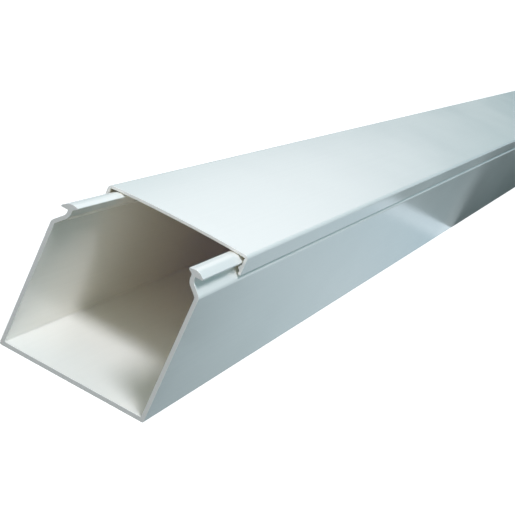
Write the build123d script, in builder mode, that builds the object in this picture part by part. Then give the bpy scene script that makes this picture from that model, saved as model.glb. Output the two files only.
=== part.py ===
"""Square clip-on cable trunking: a U-shaped base channel and its lid, slid back to show the inside.

Frame: X across the trunking, Y along it with the open end at -Y, Z up from the surface it is fixed to.
The origin is the middle of the base channel's underside. All sizes are in millimetres.
"""

import os
from math import atan, radians, tan

from build123d import *

# Stock
stock_length = 2000.0  # one bar of trunking, base and lid alike
lid_set_back = 74.0  # how far the lid is slid back from the open end

# Overall section
base_width = 100.0
trunking_height = 100.0  # from the underside to the top of the closed lid, at its middle

# Base channel
base_wall = 2.8  # floor, side walls, shoulders and necks
shoulder_inset = 7.1  # how far the shoulder brings the wall inwards
shoulder_lean = 45.0  # degrees between the shoulder and the upright wall
neck_height = 2.8  # upright stretch between the shoulder and the rail head
bottom_radius = 1.2
floor_radius = 1.0  # inside, where floor and wall meet
knee_radius = 0.7  # inside, where wall and shoulder meet
neck_radius = 3.4  # outside, where shoulder and neck meet

# Rail head, the wedge that the lid clips over
head_height = 4.1  # underside to crest
head_nose_height = 1.2  # blunt outer nose of the wedge
ramp_width = 4.2  # the sloping part, from the nose to the crest
crest_width = 3.0  # the level part that carries the lid
head_overhang = 2.8  # how far the head stands inwards of the neck
head_back_height = 1.0  # blunt inner edge
head_back_drop = 0.5  # fall from the crest to the inner edge
overhang_start = 0.8  # how far above the head's underside the inner overhang starts
overhang_radius = 1.8
crest_radius = 5.0
head_edge_radius = 0.35

# Lid
lid_plate = 1.9
lid_crown = 1.2  # how far the middle of the lid stands above its edges
lid_flange = 2.0
reveal = 2.6  # from the shoulder's corner up to the flange's lower edge
lid_corner_radius = 2.5
flange_toe_width = 0.9  # flat at the flange's lower edge
lip_reach = 1.5  # how far the lip stands in from the flange
lip_catch_drop = 1.8  # slope of the catch face, from root to nose
lip_nose_height = 0.8
lip_lead = 1.6  # slope below the nose, which spreads the flange when the lid is pushed on
lid_edge_radius = 0.3

# Fit
clip_clearance = 0.3  # between lid and base wherever they face each other

# The crown: on each half the lid rises as far as a quarter width in from its edge and is level from there, and
# this slight turn is rounded by the widest arc that stays clear of the lid's corner
half_width = base_width / 2
crown_turn = half_width / 2
crown_slope = lid_crown / (half_width - crown_turn)
crown_reach = half_width - crown_turn - lid_flange - lid_corner_radius
crown_radius = crown_reach / tan(atan(crown_slope) / 2)

# Base channel's levels, worked out from the lid downwards, and its places across
flange_inside = half_width - lid_flange
lid_edge = trunking_height - lid_crown
lid_underside = lid_edge - lid_plate
head_nose = flange_inside - clip_clearance
crest_outside = head_nose - ramp_width
crest_inside = crest_outside - crest_width
head_crest = lid_underside + (flange_inside - crest_outside) * crown_slope - clip_clearance
head_underside = head_crest - head_height
shoulder_top = head_underside - neck_height
shoulder_corner = shoulder_top - shoulder_inset / tan(radians(shoulder_lean))
mitre_drop = base_wall * tan(radians(shoulder_lean / 2))  # of each inside corner below its outside one
wall_inside = half_width - base_wall
neck_outside = half_width - shoulder_inset
neck_inside = neck_outside - base_wall
head_inside = neck_inside - head_overhang
head_back_top = head_crest - head_back_drop
head_back_bottom = head_back_top - head_back_height

# Lid's levels and places
flange_bottom = shoulder_corner + reveal
toe_inside = half_width - flange_toe_width
toe_top = flange_bottom + (toe_inside - flange_inside) / tan(radians(shoulder_lean))
lip_root_top = head_underside - clip_clearance
lip_nose = flange_inside - lip_reach
lip_nose_top = lip_root_top - lip_catch_drop
lip_nose_bottom = lip_nose_top - lip_nose_height
lip_root_bottom = lip_nose_bottom - lip_lead


def section(plane, corners):
    """Draws the right half of a section from its corners, each with its radius, and mirrors it to the left."""
    points = [point for point, _ in corners]
    radii = [radius for _, radius in corners]
    with BuildSketch(plane) as profile:
        with BuildLine():
            FilletPolyline(points, radius=radii, close=True)
        make_face()
        mirror(about=Plane.YZ)
    return profile.sketch


# Base channel: floor, side walls, inturned shoulders and the two rail heads, one extrusion
base_corners = [
    ((0, 0), 0),
    ((half_width, 0), bottom_radius),
    ((half_width, shoulder_corner), knee_radius + base_wall),
    ((neck_outside, shoulder_top), neck_radius),
    ((neck_outside, head_underside), 0),
    ((head_nose, head_underside), head_edge_radius),
    ((head_nose, head_underside + head_nose_height), head_edge_radius),
    ((crest_outside, head_crest), crest_radius),
    ((crest_inside, head_crest), crest_radius),
    ((head_inside, head_back_top), head_edge_radius),
    ((head_inside, head_back_bottom), head_edge_radius),
    ((neck_inside, head_underside + overhang_start), overhang_radius),
    ((neck_inside, shoulder_top - mitre_drop), neck_radius + base_wall),
    ((wall_inside, shoulder_corner - mitre_drop), knee_radius),
    ((wall_inside, base_wall), floor_radius),
    ((0, base_wall), 0),
]
with BuildPart() as base_channel:
    extrude(section(Plane.XZ, base_corners), amount=stock_length / 2, both=True)
base_channel.part.label = "base_channel"

# Lid: crowned cover with a flange down each side, and along each flange a lip that catches under the rail head
lid_corners = [
    ((0, trunking_height - lid_plate), 0),
    ((crown_turn, trunking_height - lid_plate), crown_radius),
    ((flange_inside, lid_underside), lid_edge_radius),
    ((flange_inside, lip_root_top), 0),
    ((lip_nose, lip_nose_top), lid_edge_radius),
    ((lip_nose, lip_nose_bottom), lid_edge_radius),
    ((flange_inside, lip_root_bottom), lid_edge_radius),
    ((flange_inside, toe_top), lid_edge_radius),
    ((toe_inside, flange_bottom), lid_edge_radius),
    ((half_width, flange_bottom), lid_edge_radius),
    ((half_width, lid_edge), lid_corner_radius),
    ((crown_turn, trunking_height), crown_radius),
    ((0, trunking_height), 0),
]
with BuildPart() as clip_lid:
    extrude(section(Plane.XZ.offset(-lid_set_back), lid_corners), amount=stock_length / 2, both=True)
clip_lid.part.label = "clip_lid"

os.makedirs("parts", exist_ok=True)
export_step(base_channel.part, "parts/base_channel.step")
export_step(clip_lid.part, "parts/clip_lid.step")
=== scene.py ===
import math
from functools import partial

import bpy
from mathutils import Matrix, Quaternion, Vector


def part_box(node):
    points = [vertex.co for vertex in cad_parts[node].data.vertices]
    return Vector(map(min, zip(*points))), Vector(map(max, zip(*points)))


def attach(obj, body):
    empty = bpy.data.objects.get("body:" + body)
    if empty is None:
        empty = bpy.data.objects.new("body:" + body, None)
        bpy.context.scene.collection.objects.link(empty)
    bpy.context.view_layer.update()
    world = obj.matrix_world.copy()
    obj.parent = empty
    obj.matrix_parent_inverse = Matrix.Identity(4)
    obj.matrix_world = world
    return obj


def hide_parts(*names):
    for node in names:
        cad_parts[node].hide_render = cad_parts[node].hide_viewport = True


# A bar of square clip-on cable trunking, dressed for the camera: the base channel first, then the lid that
# is slid back on it, then the floor, lights and camera. Everything is in metres in the row frame.
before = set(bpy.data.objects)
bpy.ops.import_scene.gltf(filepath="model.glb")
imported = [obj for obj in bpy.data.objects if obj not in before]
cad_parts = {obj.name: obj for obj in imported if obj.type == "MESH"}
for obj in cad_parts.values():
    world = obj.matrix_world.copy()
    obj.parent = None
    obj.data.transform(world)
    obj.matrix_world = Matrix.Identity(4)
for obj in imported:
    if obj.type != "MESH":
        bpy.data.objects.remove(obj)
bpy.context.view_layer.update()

# Base channel
# One white PVC extrusion: floor, two side walls, inturned shoulders and necks, and the wedge-shaped rail
# heads that the lid clips over. It is sawn square at both ends, left undrilled, and lies on its underside.
mm = 0.001
channel_low, channel_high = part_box("base_channel")
half_width = channel_high.x
crest = channel_high.z
wall = 2.8 * mm  # floor, side walls, shoulders and necks alike
shoulder = 7.1 * mm  # how far the shoulder comes inwards and, as it leans at 45 degrees, also its height
shoulder_lean = math.radians(45)
neck_height = 2.8 * mm
bottom_radius = 1.2 * mm
floor_radius = 1.0 * mm  # inside, where floor and wall meet
knee_radius = 0.7 * mm  # inside, where wall and shoulder meet
neck_radius = 3.4 * mm  # outside, where shoulder and neck meet

# Rail head, the wedge that the lid clips over
head_height = 4.1 * mm
nose_height = 1.2 * mm  # blunt outer nose of the wedge
ramp_width = 4.2 * mm  # the sloping part, from the nose to the crest
crest_width = 3.0 * mm
crest_radius = 5.0 * mm
head_overhang = 2.8 * mm  # how far the head stands inwards of the neck
back_drop = 0.5 * mm  # fall from the crest to the inner edge
back_height = 1.0 * mm  # blunt inner edge
overhang_start = 0.8 * mm  # above the head's underside
overhang_radius = 1.8 * mm
head_edge = 0.35 * mm  # radius of the head's small edges
flange = 2.0 * mm  # the lid's flange, which goes down outside the rail head
clip_clearance = 0.3 * mm

# Levels from the crest downwards, and places from the outside inwards
head_bottom = crest - head_height
shoulder_top = head_bottom - neck_height
shoulder_corner = shoulder_top - shoulder
mitre_drop = wall * math.tan(shoulder_lean / 2)  # of each inside corner below its outside one
wall_inside = half_width - wall
neck_outside = half_width - shoulder
neck_inside = neck_outside - wall
head_nose = half_width - flange - clip_clearance
crest_outside = head_nose - ramp_width
crest_inside = crest_outside - crest_width
head_inside = neck_inside - head_overhang

# Right half of the section, from the underside round to the top of the floor: each corner's x, z and radius
channel_corners = [
    (0, 0, 0),
    (half_width, 0, bottom_radius),
    (half_width, shoulder_corner, knee_radius + wall),
    (neck_outside, shoulder_top, neck_radius),
    (neck_outside, head_bottom, 0),
    (head_nose, head_bottom, head_edge),
    (head_nose, head_bottom + nose_height, head_edge),
    (crest_outside, crest, crest_radius),
    (crest_inside, crest, crest_radius),
    (head_inside, crest - back_drop, head_edge),
    (head_inside, crest - back_drop - back_height, head_edge),
    (neck_inside, head_bottom + overhang_start, overhang_radius),
    (neck_inside, shoulder_top - mitre_drop, neck_radius + wall),
    (wall_inside, shoulder_corner - mitre_drop, knee_radius),
    (wall_inside, wall, floor_radius),
    (0, wall, 0),
]


def section_loop(name, half_corners):
    """The whole section as a loop of edges in the XZ plane, with each corner's radius as an attribute."""
    left_half = [(-x, z, radius) for x, z, radius in reversed(half_corners) if x > 0]
    corners = half_corners + left_half
    count = len(corners)
    mesh = bpy.data.meshes.new(name)
    mesh.from_pydata(
        [(x, 0, z) for x, z, _ in corners],
        [(i, (i + 1) % count) for i in range(count)],
        [],
    )
    radii = mesh.attributes.new("corner_radius", "FLOAT", "POINT")
    radii.data.foreach_set("value", [radius for _, _, radius in corners])
    piece = bpy.data.objects.new(name, mesh)
    bpy.context.scene.collection.objects.link(piece)
    return piece


def wire(made, wires):
    """Fills a node's inputs: a socket is linked to it, and anything else is set as a plain value."""
    for key, source in dict(wires).items():
        if isinstance(source, bpy.types.NodeSocket):
            made.id_data.links.new(source, made.inputs[key])
        else:
            made.inputs[key].default_value = source


def add_node(tree, kind, wires=(), **settings):
    made = tree.nodes.new(kind)
    for key, value in settings.items():
        setattr(made, key, value)
    wire(made, wires)
    return made


def add_maths(tree, operation, *values):
    return add_node(tree, "ShaderNodeMath", enumerate(values), operation=operation).outputs[0]


def extruding_tree():
    """Rounds a section's corners and pushes it along Y, as the die does, with its sawn edges broken."""
    tree = bpy.data.node_groups.new("Extruded profile", "GeometryNodeTree")
    inputs = [
        ("Section", "NodeSocketGeometry"),
        ("Front", "NodeSocketFloat"),
        ("Back", "NodeSocketFloat"),
        ("Rings", "NodeSocketInt"),
        ("Arc Steps", "NodeSocketInt"),
        ("Edge Break", "NodeSocketFloat"),
        ("Waviness", "NodeSocketFloat"),
        ("Seed", "NodeSocketFloat"),
        ("Material", "NodeSocketMaterial"),
        ("Sawn Material", "NodeSocketMaterial"),
    ]
    for name, kind in inputs:
        tree.interface.new_socket(name, in_out="INPUT", socket_type=kind)
    tree.interface.new_socket("Bar", in_out="OUTPUT", socket_type="NodeSocketGeometry")
    node = partial(add_node, tree)
    maths = partial(add_maths, tree)
    given = node("NodeGroupInput").outputs

    def vector(**parts):
        return node("ShaderNodeCombineXYZ", parts).outputs[0]

    def parts_of(source):
        return node("ShaderNodeSeparateXYZ", {0: source}).outputs

    # The section: corners rounded, then laid flat, because a profile is read in its own XY plane
    loop = node("GeometryNodeMeshToCurve", {"Mesh": given["Section"]}).outputs[0]
    corner_radius = node("GeometryNodeInputNamedAttribute", {"Name": "corner_radius"}, data_type="FLOAT")
    fillet = node(
        "GeometryNodeFilletCurve",
        {"Curve": loop, "Count": given["Arc Steps"], "Radius": corner_radius.outputs[0]},
        mode="POLY",
    ).outputs[0]
    flat = node("GeometryNodeTransform", {0: fillet, "Rotation": (math.pi / 2, 0, 0)}).outputs[0]
    tangent = node("GeometryNodeInputTangent").outputs[0]
    capture = node("GeometryNodeCaptureAttribute", {0: flat})
    capture.capture_items.new("VECTOR", "Along")
    wire(capture, {1: tangent})
    profile, along = capture.outputs[0], capture.outputs[1]

    # The path: evenly spaced rings, the last but one at each end moved out to where the edge break starts
    line = node(
        "GeometryNodeCurvePrimitiveLine",
        {"Start": vector(Y=given["Front"]), "End": vector(Y=given["Back"])},
    ).outputs[0]
    path = node("GeometryNodeResampleCurve", {"Curve": line, "Count": given["Rings"]}).outputs[0]
    index = node("GeometryNodeInputIndex").outputs[0]
    for ring, y in (
        (1, maths("ADD", given["Front"], given["Edge Break"])),
        (maths("SUBTRACT", given["Rings"], 2), maths("SUBTRACT", given["Back"], given["Edge Break"])),
    ):
        chosen = node("FunctionNodeCompare", {2: index, 3: ring}, data_type="INT", operation="EQUAL")
        path = node(
            "GeometryNodeSetPosition",
            {"Geometry": path, "Selection": chosen.outputs[0], "Position": vector(Y=y)},
        ).outputs[0]
    bar = node(
        "GeometryNodeCurveToMesh",
        {"Curve": path, "Profile Curve": profile, "Fill Caps": True},
    ).outputs[0]

    # Outwards, square to the section's line: the flat section's tangent (a, b) stands as (a, -b) and turns a
    # quarter. The ring at each very end is drawn in, which breaks the sawn edge.
    heading = parts_of(along)
    outwards = vector(X=maths("MULTIPLY", heading["Y"], -1), Z=maths("MULTIPLY", heading["X"], -1))
    place = parts_of(node("GeometryNodeInputPosition").outputs[0])
    half_break = maths("MULTIPLY", given["Edge Break"], 0.5)
    beyond_front = maths("LESS_THAN", place["Y"], maths("ADD", given["Front"], half_break))
    beyond_back = maths("GREATER_THAN", place["Y"], maths("SUBTRACT", given["Back"], half_break))
    breaking = maths("MULTIPLY", maths("ADD", beyond_front, beyond_back), given["Edge Break"])

    # The walls wander a little as the bar cools on the line, always inwards
    stretch = 0.35  # slower along the bar than round it
    stretched = vector(X=place["X"], Y=maths("MULTIPLY", place["Y"], stretch), Z=place["Z"])
    noise = node(
        "ShaderNodeTexNoise",
        {"Vector": stretched, "W": given["Seed"], "Scale": 14.0, "Detail": 1.0},
        noise_dimensions="4D",
    ).outputs[0]
    wander = maths("MULTIPLY", noise, given["Waviness"])
    inwards = maths("MULTIPLY", maths("ADD", breaking, wander), -1)
    offset = node("ShaderNodeVectorMath", {0: outwards, "Scale": inwards}, operation="SCALE").outputs[0]
    bar = node("GeometryNodeSetPosition", {"Geometry": bar, "Offset": offset}).outputs[0]

    # Smooth round the arcs, sharp at true corners
    sharp_from = math.radians(28)
    bar = node("GeometryNodeSetShadeSmooth", {0: bar, "Shade Smooth": True}).outputs[0]
    turn = node("GeometryNodeInputMeshEdgeAngle").outputs[0]
    bar = node(
        "GeometryNodeSetShadeSmooth",
        {0: bar, "Selection": maths("GREATER_THAN", turn, sharp_from), "Shade Smooth": False},
        domain="EDGE",
    ).outputs[0]

    # The skin on the whole bar, then the sawn finish on whatever faces along it
    square_on = 0.9  # least Y of the normal of a sawn face
    bar = node("GeometryNodeRealizeInstances", {0: bar}).outputs[0]
    bar = node("GeometryNodeSetMaterial", {"Geometry": bar, "Material": given["Material"]}).outputs[0]
    facing = parts_of(node("GeometryNodeInputNormal").outputs[0])["Y"]
    sawn_face = maths("GREATER_THAN", maths("ABSOLUTE", facing), square_on)
    bar = node(
        "GeometryNodeSetMaterial",
        {"Geometry": bar, "Selection": sawn_face, "Material": given["Sawn Material"]},
    ).outputs[0]
    node("NodeGroupOutput", {0: bar})
    return tree


def extrude(loop, tree, values):
    """Turns a section loop into its finished bar: a plain mesh whose normals favour the broad flat faces."""
    modifier = loop.modifiers.new("extrude", "NODES")
    modifier.node_group = tree
    for item in tree.interface.items_tree:
        if item.in_out == "INPUT" and item.name in values:
            modifier[item.identifier] = values[item.name]
    weighted = loop.modifiers.new("normals", "WEIGHTED_NORMAL")
    weighted.keep_sharp = True
    evaluated = loop.evaluated_get(bpy.context.evaluated_depsgraph_get())
    mesh = bpy.data.meshes.new_from_object(evaluated)
    loop.modifiers.clear()
    loop.data = mesh
    mesh.name = loop.name
    return loop


pvc_ior = 1.53
pvc_white = (0.955, 0.93, 0.865)
sawn_white = (0.99, 0.95, 0.905)


def new_material(name):
    """A new material and its shader."""
    material = bpy.data.materials.new(name)
    material.use_nodes = True
    return material, material.node_tree.nodes["Principled BSDF"]


def stretched_noise(node, scale, detail, turn=(0, 0, 0), low=0.3, high=0.7):
    """Noise stretched by its scale on each axis, spread so that low becomes 0 and high becomes 1."""
    place = node("ShaderNodeTexCoord").outputs["Object"]
    turned = node("ShaderNodeMapping", {"Vector": place, "Rotation": turn}).outputs[0]
    mapped = node("ShaderNodeMapping", {"Vector": turned, "Scale": scale}).outputs[0]
    value = node("ShaderNodeTexNoise", {"Vector": mapped, "Scale": 1.0, "Detail": detail}).outputs[0]
    return node("ShaderNodeMapRange", {"Value": value, "From Min": low, "From Max": high}).outputs[0]


def pvc(name, colour, roughness):
    """Extruded rigid PVC: faint die lines along the bar, slight clouding and fine rub marks."""
    material, shader = new_material(name)
    node = partial(add_node, material.node_tree)
    maths = partial(add_maths, material.node_tree)
    die_lines = stretched_noise(node, scale=(420, 1.5, 420), detail=3)
    clouds = stretched_noise(node, scale=(9, 4, 9), detail=2)
    grain = stretched_noise(node, scale=(1800, 900, 1800), detail=2)
    rubbed = stretched_noise(
        node,
        scale=(1500, 22, 1500),
        detail=1,
        turn=(0.10, 0, 0.13),
        low=0.60,
        high=0.75,
    )

    # How much darker the plastic is between the clouds and along the die lines
    clouding = 0.025
    lining = 0.012
    clouded = maths("ADD", 1 - clouding, maths("MULTIPLY", clouds, clouding))
    shade = maths("SUBTRACT", clouded, maths("MULTIPLY", die_lines, lining))
    tinted = node("ShaderNodeVectorMath", {0: colour, "Scale": shade}, operation="SCALE").outputs[0]

    # How much the roughness varies with the clouds, up and down, and what a rub mark adds
    patchiness = 0.03
    scuffing = 0.02
    patchy = maths("ADD", roughness - patchiness, maths("MULTIPLY", clouds, 2 * patchiness))
    scuffed = maths("ADD", patchy, maths("MULTIPLY", rubbed, scuffing))

    ridges = node(
        "ShaderNodeBump",
        {"Height": die_lines, "Strength": 0.10, "Distance": 0.2 * mm},
    ).outputs[0]
    skin = node(
        "ShaderNodeBump",
        {"Height": grain, "Strength": 0.12, "Distance": 0.05 * mm, "Normal": ridges},
    ).outputs[0]
    wire(shader, {"Base Color": tinted, "Roughness": scuffed, "Normal": skin, "IOR": pvc_ior})
    return material


def sawn_pvc(name, colour):
    """The same PVC where the saw went through: matt, with shallow arcs and a little torn grain."""
    material, shader = new_material(name)
    node = partial(add_node, material.node_tree)
    maths = partial(add_maths, material.node_tree)

    # The blade turned about a line below the bar and to its left, at x -0.11 and z -0.16
    place = node("ShaderNodeTexCoord").outputs["Object"]
    from_blade = node("ShaderNodeMapping", {"Vector": place, "Location": (0.11, 0, 0.16)}).outputs[0]
    arcs = node(
        "ShaderNodeTexWave",
        {"Vector": from_blade, "Scale": 190.0, "Distortion": 1.2, "Detail": 2.0, "Detail Scale": 3.0},
        wave_type="RINGS",
        rings_direction="Y",
    ).outputs["Fac"]
    torn = stretched_noise(node, scale=(900, 900, 900), detail=3)
    mixed = maths("ADD", arcs, torn)  # from 0 to 2
    shade = node(
        "ShaderNodeMapRange",
        {"Value": mixed, "From Max": 2.0, "To Min": 0.96, "To Max": 1.0},
    ).outputs[0]
    tinted = node("ShaderNodeVectorMath", {0: colour, "Scale": shade}, operation="SCALE").outputs[0]
    roughness = node("ShaderNodeMapRange", {"Value": torn, "To Min": 0.48, "To Max": 0.62}).outputs[0]
    grooves = node(
        "ShaderNodeBump",
        {"Height": mixed, "Strength": 0.35, "Distance": 0.04 * mm},
    ).outputs[0]
    wire(shader, {"Base Color": tinted, "Roughness": roughness, "Normal": grooves, "IOR": pvc_ior})
    return material


# What the channel and the lid share: how finely they are divided, and how far their sawn edges are broken
alike = {"Rings": 60, "Arc Steps": 8, "Edge Break": 0.12 * mm}

profile_tree = extruding_tree()
channel = extrude(
    section_loop("base_channel_bar", channel_corners),
    profile_tree,
    {
        **alike,
        "Front": channel_low.y,
        "Back": channel_high.y,
        "Waviness": 0.12 * mm,
        "Seed": 3.0,
        "Material": pvc("channel_pvc", pvc_white, roughness=0.20),
        "Sawn Material": sawn_pvc("channel_sawn", sawn_white),
    },
)
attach(channel, "channel")
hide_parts("base_channel")

# Lid
# The cover, a second PVC extrusion: a slightly crowned plate with a flange down each side, and along each
# flange a lip that catches under the rail head. It is clipped on from above and slid back from the open end.
lid_low, lid_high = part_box("clip_lid")
lid_top = lid_high.z
toe = lid_low.z  # lower edge of the flange
plate = 1.9 * mm
crown = 1.2 * mm  # how far the middle stands above the edges
toe_width = 0.9 * mm  # flat at the flange's lower edge
lip_reach = 1.5 * mm  # how far the lip stands in from the flange
lip_catch_drop = 1.8 * mm  # slope of the catch face, from root to nose
lip_nose_height = 0.8 * mm
lip_lead = 1.6 * mm  # slope below the nose, which spreads the flange when the lid is pushed on
lid_edge = 0.3 * mm  # radius of the small edges
lid_corner = 2.5 * mm

# Levels from the plate downwards, and places from the outside inwards
lid_shoulder = lid_top - crown
plate_underside = lid_top - plate
lip_root_top = head_bottom - clip_clearance
lip_nose_top = lip_root_top - lip_catch_drop
lip_nose_bottom = lip_nose_top - lip_nose_height
lip_root_bottom = lip_nose_bottom - lip_lead
toe_inside = half_width - toe_width
flange_inside = half_width - flange
toe_top = toe + toe_inside - flange_inside  # the toe's inner slope is at 45 degrees
lip_nose = flange_inside - lip_reach

# The crown turns down a quarter width in from each edge, round the widest arc that stays clear of the corner
crown_turn = half_width / 2
crown_angle = math.atan(crown / (half_width - crown_turn))
crown_radius = (half_width - crown_turn - flange - lid_corner) / math.tan(crown_angle / 2)

# Right half of the section, from the plate's underside round to its top
lid_corners = [
    (0, plate_underside, 0),
    (crown_turn, plate_underside, crown_radius),
    (flange_inside, lid_shoulder - plate, lid_edge),
    (flange_inside, lip_root_top, 0),
    (lip_nose, lip_nose_top, lid_edge),
    (lip_nose, lip_nose_bottom, lid_edge),
    (flange_inside, lip_root_bottom, lid_edge),
    (flange_inside, toe_top, lid_edge),
    (toe_inside, toe, lid_edge),
    (half_width, toe, lid_edge),
    (half_width, lid_shoulder, lid_corner),
    (crown_turn, lid_top, crown_radius),
    (0, lid_top, 0),
]
lid = extrude(
    section_loop("clip_lid_bar", lid_corners),
    profile_tree,
    {
        **alike,
        "Front": lid_low.y,
        "Back": lid_high.y,
        "Waviness": 0.08 * mm,
        "Seed": 8.0,
        "Material": pvc("lid_pvc", pvc_white, roughness=0.22),
        "Sawn Material": sawn_pvc("lid_sawn", sawn_white),
    },
)
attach(lid, "lid")
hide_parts("clip_lid")

# Floor
# A plain pale floor runs out to a round pale backdrop, and only the camera sees the two. What lights the bar
# from below and mirrors in its sides lies just under that floor, where the camera doesn't see it: dark ground
# with a pale sheet on each side, the right one ending half way along the bar, as in the photograph.


def staged(name, points, faces):
    mesh = bpy.data.meshes.new(name)
    mesh.from_pydata(points, [], faces)
    made = bpy.data.objects.new(name, mesh)
    bpy.context.scene.collection.objects.link(made)
    return made


def plane(name, x, y, z):
    corners = [(x[0], y[0], z), (x[1], y[0], z), (x[1], y[1], z), (x[0], y[1], z)]
    return staged(name, corners, [(0, 1, 2, 3)])


def matt(name, colour, glow=0.0):
    material, shader = new_material(name)
    finish = {
        "Base Color": (*colour, 1),
        "Roughness": 0.9,
        "Specular IOR Level": 0.0,
        "Emission Color": (1, 1, 1, 1),
        "Emission Strength": glow,
    }
    wire(shader, finish)
    return material


def camera_only(ground, material):
    """Gives the floor or backdrop its material and hides it from all but the camera."""
    ground.data.materials.append(material)
    ground.visible_diffuse = False
    ground.visible_glossy = False
    ground.visible_transmission = False
    ground.visible_shadow = False


black = (0, 0, 0)
floor_reach = 60
floor = plane("floor", (-floor_reach, floor_reach), (-floor_reach, floor_reach), 0)
camera_only(floor, matt("pale_floor", (0.40, 0.40, 0.40), glow=0.92))

backdrop_radius = 50
backdrop_foot = -1
backdrop_top = 60
sides = 96
angles = [math.tau * i / sides for i in range(sides)]
rim = [(math.cos(angle) * backdrop_radius, math.sin(angle) * backdrop_radius) for angle in angles]
backdrop = staged(
    "backdrop",
    [(x, y, backdrop_foot) for x, y in rim] + [(x, y, backdrop_top) for x, y in rim],
    [(i, (i + 1) % sides, sides + (i + 1) % sides, sides + i) for i in range(sides)],
)
camera_only(backdrop, matt("backdrop", black, glow=0.90))


def unseen(sheet, material):
    """Gives a sheet its material and hides it from the camera, so that it only lights and mirrors."""
    sheet.data.materials.append(material)
    sheet.visible_camera = False
    sheet.visible_shadow = False


# Levels of the dark ground, of the sheets on it and of the seam on them, and how far out they all go
ground_level = -2.0 * mm
sheet_level = -1.0 * mm
seam_level = -0.5 * mm
reach = 6
dark = matt("dark", black)
unseen(plane("dark_ground", (-reach, reach), (-reach, reach), ground_level), dark)


def graded_sheet(name, x, stops):
    """Lays a glowing sheet whose colour changes along Y, from the first stop's place to the last one's."""
    material = matt(name, black, glow=1.0)
    node = partial(add_node, material.node_tree)
    first, last = stops[0][0], stops[-1][0]
    along = node("ShaderNodeSeparateXYZ", {0: node("ShaderNodeTexCoord").outputs["Object"]})
    grade = node(
        "ShaderNodeMapRange",
        {"Value": along.outputs["Y"], "From Min": first, "From Max": last},
    )
    ramp = node("ShaderNodeValToRGB", {0: grade.outputs[0]})
    marks = ramp.color_ramp.elements
    marks[0].color = (*stops[0][1], 1)
    marks[-1].color = (*stops[-1][1], 1)
    for y, colour in stops[1:-1]:
        mark = marks.new((y - first) / (last - first))
        mark.color = (*colour, 1)
    wire(material.node_tree.nodes["Principled BSDF"], {"Emission Color": ramp.outputs[0]})
    unseen(plane(name, x, (first, last), sheet_level), material)


# The right wall mirrors a sheet that ends half way along the bar, and dark ground beyond it. Each stop is a
# place along the bar and the sheet's colour there.
right_stops = [
    (channel_low.y, (0.236, 0.280, 0.310)),
    (-0.95, (0.236, 0.280, 0.310)),
    (-0.85, (0.315, 0.375, 0.410)),
    (-0.70, (0.425, 0.514, 0.567)),
    (-0.50, (0.495, 0.587, 0.651)),
    (-0.10, (0.440, 0.567, 0.657)),
    (-0.05, (0.730, 0.850, 0.950)),
    (0.022, (0.730, 0.850, 0.950)),
]
graded_sheet("right_sheet", (half_width, reach), right_stops)

# Past what the camera sees, pale sheets light the rest of the bar: far back on the right, behind and on the
# left. The far right one keeps clear of the bar, so as not to mirror in the wall that the photograph shows.
clear_of_bar = 0.26
behind = 1.30
far_stops = [(0.55, black), (1.00, (0.52, 0.57, 0.60)), (behind, (0.74, 0.78, 0.80))]
graded_sheet("far_right_sheet", (clear_of_bar, reach), far_stops)
cool = (0.80, 0.87, 0.95)
graded_sheet("left_sheet", (-reach, -half_width), [(channel_low.y, cool), (reach, cool)])
graded_sheet("back_sheet", (-half_width, reach), [(behind, cool), (reach, cool)])

# A dark seam in the right sheet, slightly askew of the bar, mirrors in the top of the wall by its open end
seam_near = (0.088, -0.83)
seam_far = (0.127, -0.6)
seam_width = 0.013
seam = staged(
    "seam",
    [
        (*seam_near, seam_level),
        (seam_near[0] + seam_width, seam_near[1], seam_level),
        (seam_far[0] + seam_width, seam_far[1], seam_level),
        (*seam_far, seam_level),
    ],
    [(0, 1, 2, 3)],
)
unseen(seam, dark)

# Lights
# One soft studio lamp above and in front of the open end, slightly to the right, in a cool pale room with a
# soft panel in front, a small one at the back and a faint warm one to the left.


def area_lamp(name, shape, size, watts, place, aim):
    """A lamp whose watts are given for red, green and blue."""
    lamp = bpy.data.lights.new(name, "AREA")
    lamp.shape = shape
    lamp.size, lamp.size_y = size
    lamp.energy = max(watts)
    lamp.color = [w / lamp.energy for w in watts]
    stand = bpy.data.objects.new(name, lamp)
    stand.location = place
    stand.rotation_mode = "QUATERNION"
    stand.rotation_quaternion = (aim - place).to_track_quat("-Z", "Y")
    bpy.context.scene.collection.objects.link(stand)
    return stand


open_end = Vector((0, channel_low.y, 0.05))
towards_key = Vector((0.235, -0.315, 1.0)).normalized()
key_distance = 3.0
area_lamp(
    "key",
    "ELLIPSE",
    size=(0.85, 1.20),
    watts=(60.0, 61.7, 67.7),
    place=open_end + towards_key * key_distance,
    aim=open_end,
)

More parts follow.
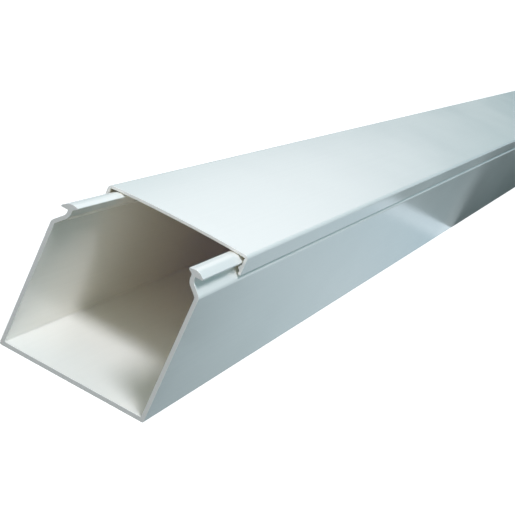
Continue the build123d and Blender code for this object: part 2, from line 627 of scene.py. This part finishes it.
# The thin lid lets a little light through. A weak lamp under it, which nothing mirrors, stands for that
# light, and it reaches deep into the channel only after many turns between the white walls, so paths may be
# longer than usual.
through_lid = area_lamp(
    "through_lid",
    "RECTANGLE",
    size=(0.07, 1.7),
    watts=(0.0075, 0.0066, 0.015),
    place=Vector((0, 0.1, 0.094)),
    aim=Vector((0, 0.1, 0)),
)
through_lid.visible_camera = False
through_lid.visible_glossy = False
bpy.context.scene.cycles.diffuse_bounces = 16
bpy.context.scene.cycles.max_bounces = 20

# The room: a cool colour all round, and on it each panel, full within the first number of degrees from its
# direction and gone beyond the second
world = bpy.data.worlds.new("room")
world.use_nodes = True
bpy.context.scene.world = world
node = partial(add_node, world.node_tree)
direction = node("ShaderNodeTexCoord").outputs["Generated"]
room = (0.219, 0.353, 0.401)
for towards, full, gone, colour in (
    ((0, -1, 0.10), 12, 32, (0.98, 0.78, 0.63)),  # front
    ((-0.208, 0.978, 0.287), 4, 8, (0.88, 0.75, 0.75)),  # back
    ((-1, 0, 0.7), 15, 42, (0.40, 0.20, 0.08)),  # left
):
    turn = node(
        "ShaderNodeVectorMath",
        {0: direction, 1: Vector(towards).normalized()},
        operation="DOT_PRODUCT",
    ).outputs["Value"]
    edge = node(
        "ShaderNodeMapRange",
        {
            "Value": turn,
            "From Min": math.cos(math.radians(gone)),
            "From Max": math.cos(math.radians(full)),
        },
        interpolation_type="SMOOTHSTEP",
    ).outputs[0]
    room = node("ShaderNodeVectorMath", {0: colour, 1: edge, 2: room}, operation="MULTIPLY_ADD").outputs[0]
wire(world.node_tree.nodes["Background"], {"Color": room})

# Camera
# Stands in front of the open end, a little to its right and above, and is tilted to its left, as when the
# photograph was taken.
lens_data = bpy.data.cameras.new("camera")
lens_data.sensor_width = 36
lens_data.lens = 114.88
camera = bpy.data.objects.new("camera", lens_data)
camera.location = (0.2575, -1.8739, 0.3433)
camera_aim = Vector((-0.0292, -0.5312, 0))
camera_turn = (camera_aim - camera.location).to_track_quat("-Z", "Y")
tilt = math.radians(24.55)
camera.rotation_mode = "QUATERNION"
camera.rotation_quaternion = camera_turn @ Quaternion((0, 0, 1), tilt)
bpy.context.scene.collection.objects.link(camera)
bpy.context.scene.camera = camera
bpy.context.scene.view_settings.view_transform = "Standard"
